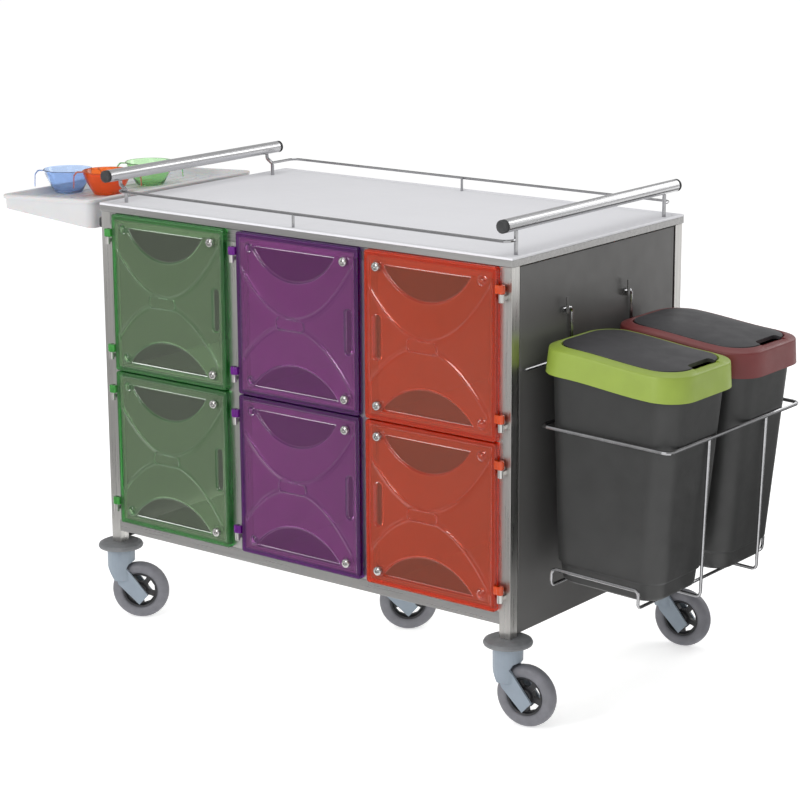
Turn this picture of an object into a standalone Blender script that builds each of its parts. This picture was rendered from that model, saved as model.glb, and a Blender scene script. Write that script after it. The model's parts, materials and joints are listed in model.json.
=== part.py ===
"""Housekeeping cart: a steel cart with six moulded doors, five castors, two push handles,
a fold-down side shelf with three cups, and two waste bins in a hanging wire rack.

Metres, +Z up. The doors face -Y, the bins hang on the +X end and the shelf on the -X end.
The origin is on the floor at the middle of the whole object.
"""

import math

import bmesh
import bpy
from mathutils import Matrix, Vector

# ---------------------------------------------------------------- driving dimensions
BODY_LENGTH = 1.064
BODY_DEPTH = 0.600
TOP_Z = 0.920
TOP_THICK = 0.0185
TOP_OVERHANG = 0.003
RECESS = 0.0018
SHEET = 0.002
GAP = 0.0003

POST = 0.025
POST_WALL = 0.002
POST_BOTTOM = 0.1733
RAIL_BOTTOM = 0.200
PANEL_BOTTOM = 0.178
PANEL_THICK = 0.0175
PANEL_INSET = 0.0015

DOOR_WIDTH = 0.316
DOOR_HEIGHT = 0.3365
DOOR_DEPTH = 0.0125
# colour: the middle of its column along X, and the side it hangs on (-1 left, +1 right)
DOOR_COLUMNS = {"green": (-0.334, -1), "purple": (0.0155, -1), "orange": (0.347, 1)}
DOOR_WALL = 0.003
DOOR_BOTTOMS = (0.226, 0.5645)
HINGE_SIDE_GAP = 0.0115
HINGE_DEPTH = 0.012
LUG_RADIUS = 0.0075
LUG_HEIGHT = 0.017
LUG_BORE = 0.0031
PIN_RADIUS = 0.0028
BARREL_RADIUS = 0.0055
BARREL_HEIGHT = 0.016
LUG_SHARES = (0.14, 0.88)
KNOB_RADIUS = 0.0095
KNOB_HEIGHT = 0.0095
KNOB_INSET = (0.033, 0.030)
# side: its middle along X and its half width
MULLIONS = {"left": (-0.1593, 0.020), "right": (0.1813, 0.0145)}
JAMB = (0.0210, 0.0080)

SHELF_Z = 0.5575
BOARD = 0.006
FLOOR_PAN_Z = 0.203

HANDLE_RADIUS = 0.013
HANDLE_Z = 0.977
HANDLE_X = 0.512
HANDLE_CAP = 0.010
# side: where its front and rear ends are along Y, and its front and rear posts
HANDLE_ENDS = {"left": (-0.298, 0.246), "right": (-0.298, 0.298)}
HANDLE_POSTS = {"left": (-0.260, 0.212), "right": (-0.260, 0.260)}
HANDLE_CRANK = 0.016
ROD_RADIUS = 0.004
GALLERY_Y = 0.287
GALLERY_Z = 0.946
GALLERY_RADIUS = 0.003
GALLERY_BEND = 0.016
GALLERY_POST = (-0.0145, 0.282)
RAIL_FOOT_Z = 0.9145
FOOT_CLEARANCE = 0.0006

WHEEL_RADIUS = 0.0625
WHEEL_WIDTH = 0.030
WHEEL_TRAIL = 0.042
AXLE_RADIUS = 0.005
AXLE_CLEARANCE = 0.0004
RIM_RADIUS = 0.0390
WEB_HALF = 0.0050
FORK_HEAD_RADIUS = 0.030
FORK_HEAD_TOP = 0.1577
FORK_CHEEK_Z = 0.088
FORK_LEG = 0.0052
FORK_SIDE_GAP = 0.0018
FORK_ARCH_GAP = 0.0040
# The fork seen from its side, as (along the trail, height) points.
FORK_LEG_OUTLINE = (
    (0.0420, 0.0330), (0.0617, 0.0545), (0.0153, 0.1145), (0.0020, 0.1200), (-0.0125, 0.1050),
    (-0.0030, 0.0777),
)
FORK_HEAD_OUTLINE = (
    (0.0310, 0.0940), (0.0153, 0.1145), (0.0205, 0.1245), (0.0310, 0.1295), (0.0310, 0.1600),
    (-0.0310, 0.1600), (-0.0310, 0.1200), (-0.0030, 0.0777), (0.0310, 0.0440),
)
# (radius, height) up the outside of a bumper disc
BUMPER_PROFILE = ((0.0400, 0.158), (0.0475, 0.160), (0.0490, 0.164), (0.0465, 0.169), (0.0380, 0.173))
# name: swivel x, swivel y, and the heading in degrees that its wheel trails along
CASTORS = {
    "front_left": (-0.5195, -0.2875, 31),
    "front_right": (0.5195, -0.2875, 7),
    "rear_left": (-0.5195, 0.2875, 18),
    "rear_right": (0.5195, 0.2875, 6),
    "centre": (0.0, 0.0, 38),
}

RACK_TILT = math.radians(2.0)
RACK_PIVOT_Z = 0.600
RACK_X = (0.032, 0.316)
RACK_Y = (-0.248, 0.238)
RACK_LOOP_Z = 0.595
RACK_BOTTOM = 0.282
RACK_GUARD_Y = (-0.2410, 0.2250)
RACK_GUARD_X = (0.066, 0.262)
RACK_GUARD_HEIGHT = 0.034
RACK_CROSS_INSET = 0.045
RACK_WIRE = 0.0038
RACK_THIN = 0.0033
RACK_UPRIGHT_Y = 0.106
RACK_BEND = 0.014
HOOK_Z = 0.796
WALL_WIRE_Z = 0.700
TONGUES_Y = (-0.129, 0.086)

BIN_X = 0.1746
BINS_Y = {"front": -0.1388, "rear": 0.1090}
BIN_WALL = 0.0028
BIN_TOP = 0.735
BIN_FLOOR = 0.289
BIN_STEP = 0.325
RIM_Z = (0.690, 0.748)
LID_TOP = 0.769
LID_HALF = (0.140, 0.100)

TRAY_TILT_DROP = 0.014
TRAY_HALF_Y = 0.265
TRAY_INNER_X = -0.600
TRAY_OUTER_X = -0.8822
TRAY_RIM_Z = 0.913
TRAY_SKIRT = (0.064, 0.030)
TRAY_WALL = 0.003
TRAY_RIM = 0.014
TRAY_DEPTH = 0.014
TUBE_X = -0.5565
TUBE_Z = 0.872
TUBE_HALF = (0.0065, 0.0115)
TRAY_PIVOT = (-0.575, 0.848)
TRAY_PIN_RADIUS = 0.004
TRAY_LUG_Y = 0.190

CUP_TOP_RADIUS = 0.0555
CUP_BASE_RADIUS = 0.033
CUP_HEIGHT = 0.052
CUP_WALL = 0.0022
CUP_EAR = 0.0800
CUP_EAR_FOOT = 0.0145
CUP_TURN = math.radians(50)
CUP_PLACES = {
    "cup_blue": (-0.829, -0.104),
    "cup_orange": (-0.713, -0.097),
    "cup_green": (-0.738, 0.065),
}

ROUND = 24
SMOOTH_ANGLE = math.radians(32)

HALF_X = BODY_LENGTH / 2
HALF_Y = BODY_DEPTH / 2
POST_X = HALF_X - POST / 2
POST_Y = HALF_Y - POST / 2
POST_TOP = TOP_Z - TOP_THICK - GAP
INNER_X = HALF_X - POST
INNER_Y = HALF_Y - POST

# name: colour, roughness, metallic
FINISHES = {
    "satin_steel": ((0.52, 0.52, 0.50), 0.32, 1.0),
    "polished_steel": ((0.75, 0.75, 0.75), 0.15, 1.0),
    "dark_panel": ((0.12, 0.12, 0.12), 0.38, 0.6),
    "inner_board": ((0.10, 0.10, 0.10), 0.6, 0.0),
    "worktop_laminate": ((0.72, 0.72, 0.75), 0.35, 0.0),
    "cap_rubber": ((0.03, 0.03, 0.03), 0.7, 0.0),
    "door_green": ((0.10, 0.45, 0.12), 0.15, 0.0),
    "door_purple": ((0.18, 0.01, 0.30), 0.15, 0.0),
    "door_orange": ((0.75, 0.08, 0.01), 0.15, 0.0),
    "fork_grey": ((0.30, 0.36, 0.40), 0.45, 0.0),
    "tyre_grey": ((0.22, 0.22, 0.25), 0.6, 0.0),
    "bin_black": ((0.03, 0.03, 0.03), 0.55, 0.0),
    "rim_green": ((0.35, 0.50, 0.05), 0.45, 0.0),
    "rim_red": ((0.18, 0.02, 0.02), 0.45, 0.0),
    "shelf_white": ((0.80, 0.82, 0.84), 0.35, 0.0),
    "cup_blue": ((0.25, 0.40, 0.75), 0.2, 0.0),
    "cup_orange": ((0.85, 0.20, 0.03), 0.2, 0.0),
    "cup_green": ((0.25, 0.65, 0.25), 0.2, 0.0),
}


# ---------------------------------------------------------------- scene and material helpers
def clear_scene():
    for thing in list(bpy.data.objects):
        bpy.data.objects.remove(thing, do_unlink=True)


def finish(name):
    found = bpy.data.materials.get(name)
    if found:
        return found
    colour, roughness, metallic = FINISHES[name]
    made = bpy.data.materials.new(name)
    made.use_nodes = True
    shader = made.node_tree.nodes["Principled BSDF"]
    shader.inputs["Base Color"].default_value = (*colour, 1.0)
    shader.inputs["Roughness"].default_value = roughness
    shader.inputs["Metallic"].default_value = metallic
    return made


def place(name, mesh, slot, origin=(0, 0, 0), smooth=True):
    """A named object from a mesh in world coordinates, with its origin moved to a point."""
    origin = Vector(origin)
    mesh.name = name
    mesh.transform(Matrix.Translation(-origin))
    mesh.materials.clear()
    mesh.materials.append(finish(slot))
    if smooth:
        mesh.shade_smooth()
        mesh.set_sharp_from_angle(angle=SMOOTH_ANGLE)
    made = bpy.data.objects.new(name, mesh)
    made.location = origin
    bpy.context.scene.collection.objects.link(made)
    return made


# ---------------------------------------------------------------- mesh helpers
def to_mesh(bm):
    bmesh.ops.recalc_face_normals(bm, faces=bm.faces[:])
    if bm.calc_volume(signed=True) < 0:
        bmesh.ops.reverse_faces(bm, faces=bm.faces[:])
    mesh = bpy.data.meshes.new("shape")
    bm.to_mesh(mesh)
    bm.free()
    return mesh


def skin(rings, closed=False):
    """A solid through rings of equal length: capped at both ends, or joined into a closed loop."""
    bm = bmesh.new()
    rows = [[bm.verts.new(p) for p in ring] for ring in rings]
    pairs = list(zip(rows, rows[1:]))
    if closed:
        pairs.append((rows[-1], rows[0]))
    for low, high in pairs:
        for i, corner in enumerate(low):
            j = (i + 1) % len(low)
            bm.faces.new((corner, low[j], high[j], high[i]))
    if not closed:
        bm.faces.new(reversed(rows[0]))
        bm.faces.new(rows[-1])
    return to_mesh(bm)


def box(low, high):
    (x0, y0, z0), (x1, y1, z1) = low, high
    corners = [(x0, y0), (x1, y0), (x1, y1), (x0, y1)]
    return skin([[(x, y, z) for x, y in corners] for z in (z0, z1)])


def circle(radius, steps=ROUND, phase=0.0):
    turns = [2 * math.pi * i / steps + phase for i in range(steps)]
    return [(radius * math.cos(t), radius * math.sin(t)) for t in turns]


def rounded_rectangle(half_x, half_y, radius, steps=4):
    points = []
    for quarter, (sx, sy) in enumerate(((1, 1), (-1, 1), (-1, -1), (1, -1))):
        for i in range(steps + 1):
            turn = math.pi / 2 * (quarter + i / steps)
            points.append((
                sx * (half_x - radius) + radius * math.cos(turn),
                sy * (half_y - radius) + radius * math.sin(turn),
            ))
    return points


def cylinder(centre, radius, low, high, axis="Z", steps=ROUND):
    """A capped cylinder between two places along an axis; centre gives the other two coordinates."""
    a, b = centre
    rings = []
    for along in (low, high):
        ring = []
        for p, q in circle(radius, steps):
            spots = {"Z": (a + p, b + q, along), "Y": (a + p, along, b + q), "X": (along, a + p, b + q)}
            ring.append(spots[axis])
        rings.append(ring)
    return skin(rings)


def rounded_path(points, radius, steps=3, closed=False):
    """A polyline with its corners turned into arcs of a given radius."""
    points = [Vector(p) for p in points]
    count = len(points)
    path = []
    for i, here in enumerate(points):
        if not closed and i in (0, count - 1):
            path.append(here)
            continue
        back = (points[i - 1] - here).normalized()
        ahead = (points[(i + 1) % count] - here).normalized()
        half = back.angle(ahead) / 2
        reach = radius / math.tan(half)
        centre = here + (back + ahead).normalized() * (radius / math.sin(half))
        first = here + back * reach - centre
        last = here + ahead * reach - centre
        axis = first.cross(last)
        for k in range(steps + 1):
            turned = Matrix.Rotation(first.angle(last) * k / steps, 3, axis) @ first
            path.append(centre + turned)
    return path


def wire(points, radius, sides=8, closed=False):
    """A round bar along a polyline, its section carried along without twist."""
    count = len(points)
    tangents = []
    for i in range(count):
        before = points[i - 1] if (closed or i) else points[i]
        after = points[(i + 1) % count] if (closed or i < count - 1) else points[i]
        tangents.append((after - before).normalized())
    normal = tangents[0].orthogonal().normalized()
    rings = []
    for spot, tangent in zip(points, tangents):
        normal = (normal - tangent * normal.dot(tangent)).normalized()
        side = tangent.cross(normal)
        rings.append([spot + normal * p + side * q for p, q in circle(radius, sides, math.pi / sides)])
    return skin(rings, closed)


def bar(start, end, radius, sides=8):
    return wire([Vector(start), Vector(end)], radius, sides)


def combine(base, others, operation="UNION"):
    """The base mesh joined with, or cut by, the other meshes, as one new mesh."""
    helper = bpy.data.objects.new("helper", base)
    bpy.context.scene.collection.objects.link(helper)
    tools = []
    for other in others:
        tool = bpy.data.objects.new("tool", other)
        tool.hide_render = True
        tool.display_type = "WIRE"
        bpy.context.scene.collection.objects.link(tool)
        tools.append(tool)
        modifier = helper.modifiers.new("combine", "BOOLEAN")
        modifier.operation = operation
        modifier.object = tool
        modifier.solver = "EXACT"
    graph = bpy.context.evaluated_depsgraph_get()
    result = bpy.data.meshes.new_from_object(helper.evaluated_get(graph))
    for done in [helper, *tools]:
        bpy.data.objects.remove(done, do_unlink=True)
    return result


# ---------------------------------------------------------------- frame and casing
def worktop():
    over_x = HALF_X + TOP_OVERHANG
    over_y = HALF_Y + TOP_OVERHANG
    slab = box((-over_x, -over_y, TOP_Z - TOP_THICK), (over_x, over_y, TOP_Z))
    under = box(
        (SHEET - over_x, SHEET - over_y, TOP_Z - TOP_THICK - 0.01),
        (over_x - SHEET, over_y - SHEET, TOP_Z - 2 * SHEET),
    )
    recess = [
        [(x, y, z) for x, y in rounded_rectangle(half_x, half_y, radius, 5)]
        for z, half_x, half_y, radius in (
            (TOP_Z - RECESS, over_x - 0.0105, over_y - 0.0105, 0.036),
            (TOP_Z + 0.0010, over_x - 0.0080, over_y - 0.0080, 0.038),
        )
    ]
    holes = [cylinder((x, y), radius + FOOT_CLEARANCE, RAIL_FOOT_Z - 0.002, TOP_Z + 0.002, steps=16)
             for x, y, radius in rail_feet()]
    place("worktop", combine(slab, [under, skin(recess), *holes], "DIFFERENCE"), "worktop_laminate")


def rail_feet():
    """(x, y, radius) of each upright of the gallery rails, where it goes down through the worktop."""
    feet = []
    for end, sy in enumerate((-1, 1)):
        feet.append((HANDLE_CRANK - HANDLE_X, HANDLE_POSTS["left"][end], ROD_RADIUS))
        feet.append((HANDLE_X, HANDLE_POSTS["right"][end], ROD_RADIUS))
        feet.append((GALLERY_POST[0], sy * GALLERY_POST[1], GALLERY_RADIUS))
    return feet


def square_tube(centre_x, centre_y, low, high):
    outer = POST / 2
    inner = outer - POST_WALL
    rings = []
    for half, levels in ((outer, (low, high)), (inner, (high, low))):
        for z in levels:
            rings.append([(centre_x + x, centre_y + y, z)
                          for x, y in ((half, half), (-half, half), (-half, -half), (half, -half))])
    return skin(rings, closed=True)


def hinge_axis(column_x, side):
    """Where a door's hinge axis stands; side is -1 for a left-hung door and +1 for a right-hung one."""
    return (column_x + side * (DOOR_WIDTH / 2 + HINGE_SIDE_GAP), -HALF_Y - HINGE_DEPTH)


def lug_heights(bottom):
    return [bottom + DOOR_HEIGHT * share for share in LUG_SHARES]


def pintles(axis):
    """Hinge barrels with pins that stand up into the door lugs, on arms from the frame's face."""
    shapes = []
    x, y = axis
    for bottom in DOOR_BOTTOMS:
        for middle in lug_heights(bottom):
            seat = middle - LUG_HEIGHT / 2 - GAP
            foot = seat - BARREL_HEIGHT
            shapes.append(cylinder((x, y), BARREL_RADIUS, foot, seat, steps=12))
            shapes.append(cylinder((x, y), PIN_RADIUS, seat - 0.002, middle + 0.003, steps=12))
            shapes.append(box((x - 0.0035, y, foot + 0.004), (x + 0.0035, 0.001 - HALF_Y, seat - 0.004)))
    return shapes


def jamb(sx):
    """The flange of a front post that a door's edge closes on."""
    reach = INNER_X - (JAMB[0] if sx < 0 else JAMB[1])
    ends = sorted((sx * reach, sx * (INNER_X + 0.001)))
    low, high = RAIL_BOTTOM + POST + GAP, POST_TOP - POST - GAP
    return box((ends[0], -HALF_Y, low), (ends[1], POST_WALL - HALF_Y, high))


def posts():
    hung = {("front", "left"): DOOR_COLUMNS["green"], ("front", "right"): DOOR_COLUMNS["orange"]}
    for depth, sy in (("front", -1), ("rear", 1)):
        for side, sx in (("left", -1), ("right", 1)):
            shape = square_tube(sx * POST_X, sy * POST_Y, POST_BOTTOM, POST_TOP)
            if (depth, side) in hung:
                shape = combine(shape, [jamb(sx), *pintles(hinge_axis(*hung[depth, side]))])
            place(f"post_{depth}_{side}", shape, "satin_steel")


def front_frame():
    reach = INNER_X - GAP
    for name, low, high in (
        ("front_top_rail", POST_TOP - POST, POST_TOP),
        ("front_bottom_rail", RAIL_BOTTOM, RAIL_BOTTOM + POST),
    ):
        place(name, box((-reach, -HALF_Y, low), (reach, -INNER_Y, high)), "satin_steel")
    low = RAIL_BOTTOM + POST + GAP
    high = POST_TOP - POST - GAP
    for side, (middle, half) in MULLIONS.items():
        shape = box((middle - half, -HALF_Y, low), (middle + half, -INNER_Y, high))
        if side == "left":
            shape = combine(shape, pintles(hinge_axis(*DOOR_COLUMNS["purple"])))
        place(f"mullion_{side}", shape, "satin_steel")


def folded_panel(low, high, open_axis, open_side):
    """A sheet panel with folded edges, open on one side."""
    inner_low = [v + SHEET for v in low]
    inner_high = [v - SHEET for v in high]
    if open_side < 0:
        inner_low[open_axis] = low[open_axis] - 0.01
    else:
        inner_high[open_axis] = high[open_axis] + 0.01
    return combine(box(low, high), [box(inner_low, inner_high)], "DIFFERENCE")


def hanging_tongues():
    """Two upright tongues on the outside of the right panel, each on a foot, that hold the rack."""
    face = HALF_X - PANEL_INSET
    shapes = []
    for centre in TONGUES_Y:
        shapes.append(box((face - 0.001, centre - 0.004, HOOK_Z - 0.0085),
                          (face + 0.0125, centre + 0.004, HOOK_Z - 0.0045)))
        shapes.append(box((face + 0.0098, centre - 0.004, HOOK_Z - 0.0085),
                          (face + 0.0125, centre + 0.004, HOOK_Z + 0.024)))
    return shapes


def side_panels():
    reach = INNER_Y - 0.004
    for side, sx in (("left", -1), ("right", 1)):
        outer = sx * (HALF_X - PANEL_INSET)
        inner = outer - sx * PANEL_THICK
        low = (min(outer, inner), -reach, PANEL_BOTTOM)
        high = (max(outer, inner), reach, POST_TOP - 0.002)
        shape = folded_panel(low, high, 0, -sx)
        if side == "right":
            shape = combine(shape, hanging_tongues())
        place(f"side_panel_{side}", shape, "dark_panel")


def back_panel():
    low = (0.004 - INNER_X, INNER_Y + 0.006, PANEL_BOTTOM)
    high = (INNER_X - 0.004, HALF_Y - PANEL_INSET, POST_TOP - 0.002)
    place("back_panel", folded_panel(low, high, 1, -1), "dark_panel")


def interior():
    front = -INNER_Y + GAP
    back = INNER_Y - GAP
    pan_reach = INNER_X - GAP
    place("floor_pan", box((-pan_reach, front, FLOOR_PAN_Z), (pan_reach, back, FLOOR_PAN_Z + SHEET)),
          "inner_board")
    floor = FLOOR_PAN_Z + SHEET + GAP
    for side, (middle, _) in MULLIONS.items():
        place(f"divider_{side}",
              box((middle - BOARD / 2, front, floor), (middle + BOARD / 2, back, POST_TOP)),
              "inner_board")
    clear = BOARD / 2 + GAP
    left, right = MULLIONS["left"][0], MULLIONS["right"][0]
    for name, x0, x1 in (
        ("left", 0.0005 - INNER_X, left - clear),
        ("centre", left + clear, right - clear),
        ("right", right + clear, INNER_X - 0.0005),
    ):
        place(f"inner_shelf_{name}", box((x0, front, SHELF_Z), (x1, back, SHELF_Z + BOARD)), "inner_board")


# ---------------------------------------------------------------- handles and gallery rails
def handles():
    for side, sx in (("left", -1), ("right", 1)):
        ends = HANDLE_ENDS[side]
        place(f"handle_tube_{side}",
              cylinder((sx * HANDLE_X, HANDLE_Z), HANDLE_RADIUS, ends[0], ends[1], "Y"),
              "satin_steel")
        for depth, sy, end in (("front", -1, ends[0]), ("rear", 1, ends[1])):
            near = end + sy * GAP
            far = end + sy * HANDLE_CAP
            place(f"handle_cap_{depth}_{side}",
                  cylinder((sx * HANDLE_X, HANDLE_Z), HANDLE_RADIUS, min(near, far), max(near, far), "Y"),
                  "cap_rubber")


def handle_post(sx, sy):
    """One handle post: straight on the right, cranked outwards on the left."""
    foot_x = sx * HANDLE_X + (HANDLE_CRANK if sx < 0 else 0.0)
    y = HANDLE_POSTS["left" if sx < 0 else "right"][0 if sy < 0 else 1]
    under = HANDLE_Z - HANDLE_RADIUS - GAP
    if sx > 0:
        return bar((foot_x, y, RAIL_FOOT_Z), (foot_x, y, under), ROD_RADIUS)
    corners = [(foot_x, y, RAIL_FOOT_Z), (foot_x, y, TOP_Z + 0.0245),
               (sx * HANDLE_X, y, under - 0.009), (sx * HANDLE_X, y, under)]
    return wire(rounded_path(corners, 0.006, 2), ROD_RADIUS)


def gallery_rails():
    for end, (depth, sy) in enumerate((("front", -1), ("rear", 1))):
        left_x = HANDLE_CRANK - HANDLE_X
        corners = [
            (left_x, HANDLE_POSTS["left"][end], GALLERY_Z),
            (left_x, sy * GALLERY_Y, GALLERY_Z),
            (HANDLE_X, sy * GALLERY_Y, GALLERY_Z),
            (HANDLE_X, HANDLE_POSTS["right"][end], GALLERY_Z),
        ]
        rail = wire(rounded_path(corners, GALLERY_BEND, 4), GALLERY_RADIUS)
        post_x, post_y = GALLERY_POST[0], sy * GALLERY_POST[1]
        middle = bar((post_x, post_y, RAIL_FOOT_Z), (post_x, post_y, GALLERY_Z + 0.001), GALLERY_RADIUS)
        shape = combine(rail, [middle, handle_post(-1, sy), handle_post(1, sy)])
        place(f"gallery_rail_{depth}", shape, "polished_steel")


# ---------------------------------------------------------------- doors
def door(name, column_x, bottom, side, slot):
    x0 = column_x - DOOR_WIDTH / 2
    x1 = column_x + DOOR_WIDTH / 2
    back = -HALF_Y - GAP
    front = back - DOOR_DEPTH
    top = bottom + DOOR_HEIGHT
    shell = box((x0, front, bottom), (x1, back, top))
    hollow = box((x0 + DOOR_WALL, front + DOOR_WALL, bottom + DOOR_WALL),
                 (x1 - DOOR_WALL, back + 0.01, top - DOOR_WALL))
    shell = combine(shell, [hollow], "DIFFERENCE")
    axis_x, axis_y = hinge_axis(column_x, side)
    edge = x0 if side < 0 else x1
    added = []
    bores = []
    for middle in lug_heights(bottom):
        low, high = middle - LUG_HEIGHT / 2, middle + LUG_HEIGHT / 2
        added.append(cylinder((axis_x, axis_y), LUG_RADIUS, low, high, steps=12))
        added.append(box((min(axis_x, edge - side * 0.002), axis_y - 0.004, low),
                         (max(axis_x, edge - side * 0.002), axis_y + 0.004, high)))
        bores.append(cylinder((axis_x, axis_y), LUG_BORE, low - 0.002, middle + 0.0035, steps=12))
    knob_x = column_x - side * (DOOR_WIDTH / 2 - KNOB_INSET[0])
    for knob_z in (bottom + KNOB_INSET[1], top - KNOB_INSET[1]):
        added.append(cylinder((knob_x, knob_z), KNOB_RADIUS, front - KNOB_HEIGHT, front + 0.001, "Y", 12))
    shape = combine(combine(shell, added), bores, "DIFFERENCE")
    place(name, shape, slot, (axis_x, axis_y, bottom))


def doors():
    for colour, (column_x, side) in DOOR_COLUMNS.items():
        for row, bottom in zip(("lower", "upper"), DOOR_BOTTOMS):
            door(f"door_{colour}_{row}", column_x, bottom, side, f"door_{colour}")


# ---------------------------------------------------------------- castors
def extruded(outline, low, high):
    """A prism on an outline of (x, z) points, between two places along Y."""
    return skin([[(x, across, z) for x, z in outline] for across in (low, high)])


def lathe(profile, steps):
    """A solid of revolution about Z from an open profile of (radius, height) points, capped flat."""
    return skin([[(p, q, height) for p, q in circle(radius, steps)] for radius, height in profile])


def fork(name, x, y, heading):
    """A swivel fork whose wheel trails along a heading (an angle about +Z)."""
    inner = WHEEL_WIDTH / 2 + FORK_SIDE_GAP
    outer = inner + FORK_LEG
    head = lathe([(FORK_HEAD_RADIUS, FORK_CHEEK_Z), (FORK_HEAD_RADIUS, FORK_HEAD_TOP)], ROUND)
    head = combine(head, [extruded(FORK_HEAD_OUTLINE, -0.04, 0.04)], "INTERSECT")
    room = cylinder((WHEEL_TRAIL, WHEEL_RADIUS), WHEEL_RADIUS + FORK_ARCH_GAP, -inner, inner, "Y", 36)
    head = combine(head, [room], "DIFFERENCE")
    legs = [extruded(FORK_LEG_OUTLINE, -outer, -inner), extruded(FORK_LEG_OUTLINE, inner, outer)]
    axle = cylinder((WHEEL_TRAIL, WHEEL_RADIUS), AXLE_RADIUS, 0.001 - outer, outer - 0.001, "Y", 16)
    shape = combine(head, [*legs, axle])
    shape.transform(Matrix.Translation((x, y, 0)) @ Matrix.Rotation(heading, 4, "Z"))
    place(name, shape, "fork_grey", (x, y, 0))


def wheel(name, x, y, heading):
    """A wheel with a round-shouldered tyre, a thin web and a hub with a bore for the axle."""
    bore = AXLE_RADIUS + AXLE_CLEARANCE
    side = [(bore, 0.014), (0.013, 0.014), (0.015, WEB_HALF), (RIM_RADIUS - 0.004, WEB_HALF)]
    side += [(RIM_RADIUS, 0.0105), (0.0420, 0.0138), (0.0500, WHEEL_WIDTH / 2)]
    side += [(0.0575, 0.0122), (0.0612, 0.0070)]
    profile = [(r, -across) for r, across in side] + [(WHEEL_RADIUS, 0.0)]
    profile += [(r, across) for r, across in reversed(side)]
    steps = 32
    rings = []
    for i in range(steps):
        turn = 2 * math.pi * i / steps
        rings.append([(r * math.cos(turn), across, r * math.sin(turn)) for r, across in profile])
    shape = skin(rings, closed=True)
    centre = Vector((WHEEL_TRAIL, 0, WHEEL_RADIUS))
    centre.rotate(Matrix.Rotation(heading, 3, "Z"))
    centre += Vector((x, y, 0))
    shape.transform(Matrix.Translation(centre) @ Matrix.Rotation(heading, 4, "Z"))
    place(name, shape, "tyre_grey", centre)


def castors():
    for place_name, (x, y, degrees) in CASTORS.items():
        heading = math.radians(degrees)
        fork(f"castor_fork_{place_name}", x, y, heading)
        wheel(f"castor_wheel_{place_name}", x, y, heading)
        if place_name != "centre":
            bumper = lathe(BUMPER_PROFILE, 32)
            bumper.transform(Matrix.Translation((x, y, 0)))
            place(f"bumper_{place_name}", bumper, "cap_rubber")
    plate = box((-0.05, -0.05, FLOOR_PAN_Z - GAP - 0.004), (0.05, 0.05, FLOOR_PAN_Z - GAP))
    stem = cylinder((0, 0), 0.020, FORK_HEAD_TOP + GAP, FLOOR_PAN_Z - 0.002, steps=16)
    place("castor_mount_centre", combine(plate, [stem]), "satin_steel")


# ---------------------------------------------------------------- bins and their rack
def tilt():
    """The lean of the rack and bins: about a line along Y on the right panel, tops outwards."""
    pivot = Vector((HALF_X, 0, RACK_PIVOT_Z))
    lean = Matrix.Rotation(RACK_TILT, 4, "Y")
    return Matrix.Translation(pivot) @ lean @ Matrix.Translation((0, 0, -RACK_PIVOT_Z))


def tilted(x, y, z):
    return tilt() @ Vector((x, y, z))


def rack():
    near, far = RACK_X
    front, rear = RACK_Y
    loop = [tilted(x, y, RACK_LOOP_Z) for x, y in ((near, front), (far, front), (far, rear), (near, rear))]
    loop = wire(rounded_path(loop, RACK_BEND, 3, closed=True), RACK_WIRE, closed=True)
    wall_x = HALF_X - PANEL_INSET + 0.0052
    added = []
    for tongue_y, upright_y in zip(TONGUES_Y, (-RACK_UPRIGHT_Y, RACK_UPRIGHT_Y)):
        hanger = [
            (wall_x, tongue_y - 0.008, HOOK_Z), (wall_x, upright_y, HOOK_Z), (wall_x, upright_y, 0.662),
            tilted(near, upright_y, 0.630), tilted(near, upright_y, RACK_BOTTOM),
            tilted(far, upright_y, RACK_BOTTOM), tilted(far, upright_y, RACK_LOOP_Z + 0.0005),
        ]
        added.append(wire(rounded_path(hanger, 0.009, 3), RACK_THIN))
    inner, outer = RACK_GUARD_X
    ends = (RACK_Y[0] + RACK_CROSS_INSET, RACK_Y[1] - RACK_CROSS_INSET)
    for guard_y, end in zip(RACK_GUARD_Y, ends):
        guard = [
            tilted(inner, end, RACK_BOTTOM), tilted(inner, guard_y, RACK_BOTTOM),
            tilted(inner, guard_y, RACK_BOTTOM + RACK_GUARD_HEIGHT),
            tilted(outer, guard_y, RACK_BOTTOM + RACK_GUARD_HEIGHT),
            tilted(outer, guard_y, RACK_BOTTOM), tilted(outer, end, RACK_BOTTOM),
        ]
        added.append(wire(rounded_path(guard, 0.009, 3), RACK_THIN))
    for x in RACK_GUARD_X:
        added.append(bar(tilted(x, ends[0] - 0.004, RACK_BOTTOM), tilted(x, ends[1] + 0.004, RACK_BOTTOM),
                         RACK_THIN * 0.97))
    added.append(bar((wall_x, -0.262, WALL_WIRE_Z), (wall_x, 0.262, WALL_WIRE_Z), RACK_THIN * 0.95))
    place("bin_rack", combine(loop, added), "polished_steel")


def ring_at(half_x, half_y, radius, z):
    return [(x, y, z) for x, y in rounded_rectangle(half_x, half_y, radius)]


def bin_body():
    wall = BIN_WALL
    outer = [
        (0.1090, 0.0840, 0.036, BIN_FLOOR), (0.1130, 0.0875, 0.040, BIN_FLOOR + 0.004),
        (0.1150, 0.0890, 0.040, BIN_STEP), (0.1210, 0.0940, 0.044, BIN_STEP + 0.004),
        (0.145, 0.106, 0.046, BIN_TOP),
    ]
    inner = [(0.145 - wall, 0.106 - wall, 0.043, BIN_TOP), (0.1105, 0.0850, 0.037, BIN_FLOOR + 0.004)]
    return skin([ring_at(*row) for row in outer + inner])


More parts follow.
